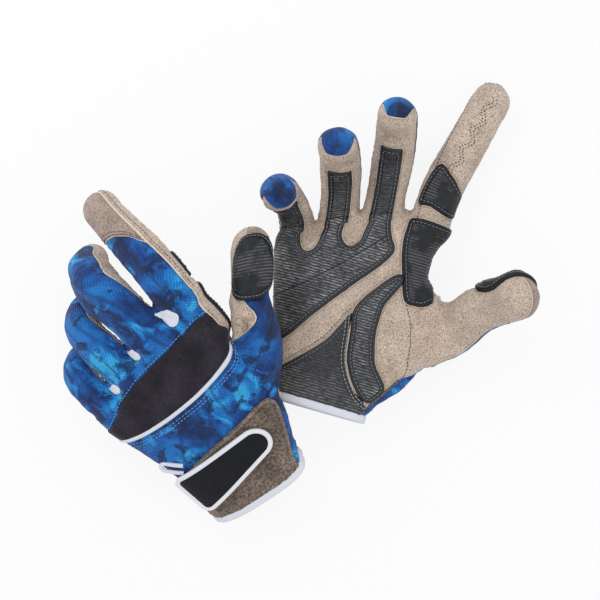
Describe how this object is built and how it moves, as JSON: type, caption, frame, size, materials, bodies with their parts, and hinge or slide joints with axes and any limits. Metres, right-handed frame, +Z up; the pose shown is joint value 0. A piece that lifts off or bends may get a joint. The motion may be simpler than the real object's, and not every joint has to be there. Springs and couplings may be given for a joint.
{
  "type": "sailing gloves",
  "caption": "Pair of full-finger sailing gloves with suede palms, black grip patches, knuckle panel and wrist strap tab, one palm down and one palm up.",
  "frame": {"origin": "centre of the bounding box in plan, at the level of the table the gloves lie on", "axes": "+Z up; +Y runs the way the right glove's fingers point, +X to the right glove's thumb side"},
  "size_m": [0.2783, 0.2582, 0.086],
  "materials": {
    "blue_knit": "printed stretch knit, blue mottled",
    "suede": "taupe synthetic suede",
    "black_leather": "embossed black synthetic leather",
    "neoprene": "black matte stretch fabric over foam",
    "white_trim": "white woven piping, binding and gussets",
    "loop_pile": "brown loop pile",
    "moulded_black": "black moulded tab",
    "hook_tape": "hook tape"
  },
  "bodies": {
    "right_hand": {"right_back_panel": "blue_knit", "right_finger_back_panel": "blue_knit", "right_knuckle_panel": "neoprene", "right_knuckle_piping": "white_trim", "right_palm_panel": "suede", "right_palm_patch": "black_leather", "right_palm_reinforcements": "black_leather", "right_fourchettes": "white_trim", "right_wrist_loop_patch": "loop_pile", "right_cuff_binding": "white_trim", "right_pull_loop": "white_trim"},
    "right_strap": {"right_strap_tab": "moulded_black", "right_strap_welt": "white_trim", "right_strap_hook_pad": "hook_tape"},
    "right_thumb": {"right_thumb_back": "blue_knit", "right_thumb_palm": "suede", "right_thumb_patch": "black_leather"},
    "right_index": {"right_index_back": "blue_knit", "right_index_tip_cap": "suede", "right_index_palm": "suede", "right_index_patch": "black_leather"},
    "right_middle": {"right_middle_back": "blue_knit", "right_middle_palm": "suede", "right_middle_strip": "black_leather"},
    "right_ring": {"right_ring_back": "blue_knit", "right_ring_palm": "suede", "right_ring_strip": "black_leather"},
    "right_little": {"right_little_back": "blue_knit", "right_little_palm": "suede", "right_little_strip": "black_leather"},
    "left_hand": {"left_back_panel": "blue_knit", "left_finger_back_panel": "blue_knit", "left_knuckle_panel": "neoprene", "left_knuckle_piping": "white_trim", "left_palm_panel": "suede", "left_palm_patch": "black_leather", "left_palm_reinforcements": "black_leather", "left_fourchettes": "white_trim", "left_wrist_loop_patch": "loop_pile", "left_cuff_binding": "white_trim", "left_pull_loop": "white_trim"},
    "left_strap": {"left_strap_tab": "moulded_black", "left_strap_welt": "white_trim", "left_strap_hook_pad": "hook_tape"},
    "left_thumb": {"left_thumb_back": "blue_knit", "left_thumb_palm": "suede", "left_thumb_patch": "black_leather"},
    "left_index": {"left_index_back": "blue_knit", "left_index_tip_cap": "suede", "left_index_palm": "suede", "left_index_patch": "black_leather"},
    "left_middle": {"left_middle_back": "blue_knit", "left_middle_palm": "suede", "left_middle_strip": "black_leather"},
    "left_ring": {"left_ring_back": "blue_knit", "left_ring_palm": "suede", "left_ring_strip": "black_leather"},
    "left_little": {"left_little_back": "blue_knit", "left_little_palm": "suede", "left_little_strip": "black_leather"}
  },
  "joints": [
    {"name": "left_glove_lift", "type": "slide", "parent": "right_hand", "child": "left_hand", "axis": [0, 0, 1], "range_m": [0, 0.15]},
    {"name": "left_thumb_raise", "type": "hinge", "parent": "left_hand", "child": "left_thumb", "pos_m": [-0.02553, -0.04206, 0.0612], "axis": [0.6479, -0.6856, -0.3319], "range_deg": [0, 25]},
    {"name": "left_index_curl", "type": "hinge", "parent": "left_hand", "child": "left_index", "pos_m": [-0.07311, 0.00697, 0.06298], "axis": [-0.8112, -0.5164, -0.2742], "range_deg": [0, 35]},
    {"name": "left_middle_straighten", "type": "hinge", "parent": "left_hand", "child": "left_middle", "pos_m": [-0.09184, -0.02046, 0.07388], "axis": [0.5404, 0.748, 0.3853], "range_deg": [0, 40]},
    {"name": "left_ring_straighten", "type": "hinge", "parent": "left_hand", "child": "left_ring", "pos_m": [-0.10508, -0.04115, 0.06212], "axis": [0.4276, 0.8048, 0.4117], "range_deg": [0, 40]},
    {"name": "left_little_straighten", "type": "hinge", "parent": "left_hand", "child": "left_little", "pos_m": [-0.11536, -0.05993, 0.05095], "axis": [0.4267, 0.8051, 0.4119], "range_deg": [0, 40]},
    {"name": "left_strap_open", "type": "hinge", "parent": "left_hand", "child": "left_strap", "pos_m": [-0.06473, -0.11162, 0.0249], "axis": [0.7184, -0.6271, -0.3012], "range_deg": [0, 100]},
    {"name": "right_thumb_curl", "type": "hinge", "parent": "right_hand", "child": "right_thumb", "pos_m": [0.07208, -0.01731, 0.03037], "axis": [-0.2422, -0.9687, 0.0547], "range_deg": [0, 25]},
    {"name": "right_index_curl", "type": "hinge", "parent": "right_hand", "child": "right_index", "pos_m": [0.0746, 0.04928, 0.0283], "axis": [0.9462, -0.3156, 0.072], "range_deg": [0, 45]},
    {"name": "right_middle_straighten", "type": "hinge", "parent": "right_hand", "child": "right_middle", "pos_m": [0.04917, 0.05114, 0.00439], "axis": [-0.9974, -0.0534, -0.049], "range_deg": [0, 40]},
    {"name": "right_ring_straighten", "type": "hinge", "parent": "right_hand", "child": "right_ring", "pos_m": [0.02211, 0.04808, 0.00419], "axis": [-0.9827, -0.1811, -0.0393], "range_deg": [0, 50]},
    {"name": "right_little_straighten", "type": "hinge", "parent": "right_hand", "child": "right_little", "pos_m": [-0.00165, 0.0438, 0.00463], "axis": [-0.9825, -0.1821, -0.0392], "range_deg": [0, 60]},
    {"name": "right_strap_open", "type": "hinge", "parent": "right_hand", "child": "right_strap", "pos_m": [-0.01931, -0.03086, 0.00986], "axis": [0.1476, 0.9872, -0.061], "range_deg": [0, 100]}
  ]
}
